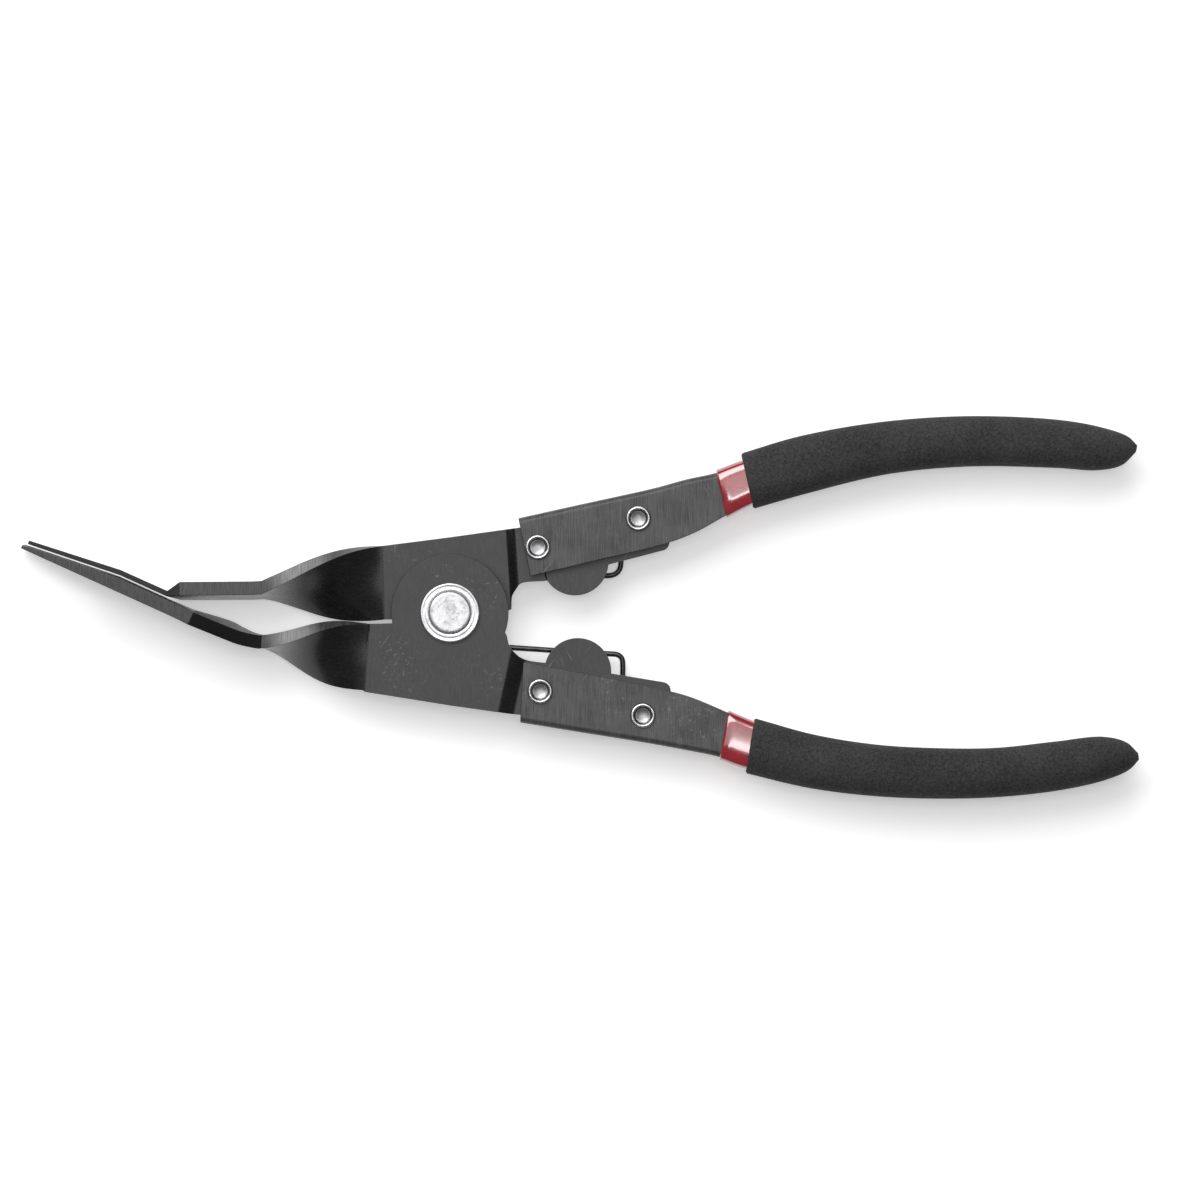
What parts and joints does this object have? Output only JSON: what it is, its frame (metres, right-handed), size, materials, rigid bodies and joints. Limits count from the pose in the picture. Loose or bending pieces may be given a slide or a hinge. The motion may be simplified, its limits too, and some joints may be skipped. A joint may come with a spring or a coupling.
{
  "type": "trim clip removal pliers",
  "caption": "Reverse-action trim clip pliers: squeezing the sleeved handles spreads an angled forked nose of two twisted strap jaws.",
  "frame": {"origin": "pivot axis at the rear face of the pivot rivet, which is the lowest point as the tool lies on a surface", "axes": "+X from the nose to the handles, +Y from the lower half to the upper half, +Z along the pivot away from the surface the tool lies on"},
  "size_m": [0.2404, 0.0824, 0.017],
  "materials": {
    "jaw_steel": "black oxide over ground plate, satin",
    "channel_steel": "dark grey oxide over brushed sheet",
    "bright_steel": "turned bright steel",
    "zinc_steel": "bright plated",
    "spring_wire": "black drawn wire",
    "red_dip": "glossy dipped vinyl",
    "black_rubber": "matt skin with a fine grain"
  },
  "bodies": {
    "lower_half": {"lower_jaw_plate": "jaw_steel", "pivot_rivet": "bright_steel", "pivot_front_washer": "bright_steel", "pivot_rear_washer": "bright_steel", "spring_collar": "bright_steel", "torsion_spring": "spring_wire", "lower_handle_channel": "channel_steel", "lower_tubular_rivet_1": "zinc_steel", "lower_tubular_rivet_2": "zinc_steel", "lower_grip_liner": "red_dip", "lower_grip_sleeve": "black_rubber"},
    "upper_half": {"upper_jaw_plate": "jaw_steel", "upper_handle_channel": "channel_steel", "upper_tubular_rivet_1": "zinc_steel", "upper_tubular_rivet_2": "zinc_steel", "upper_grip_liner": "red_dip", "upper_grip_sleeve": "black_rubber"}
  },
  "joints": [
    {"name": "pivot", "type": "hinge", "parent": "lower_half", "child": "upper_half", "pos_m": [0, 0, 0], "axis": [0, 0, -1], "range_deg": [0, 18.5], "stiffness_Nm_per_rad": 0.3, "springref_deg": -57.3, "deforming": ["torsion_spring"]}
  ]
}
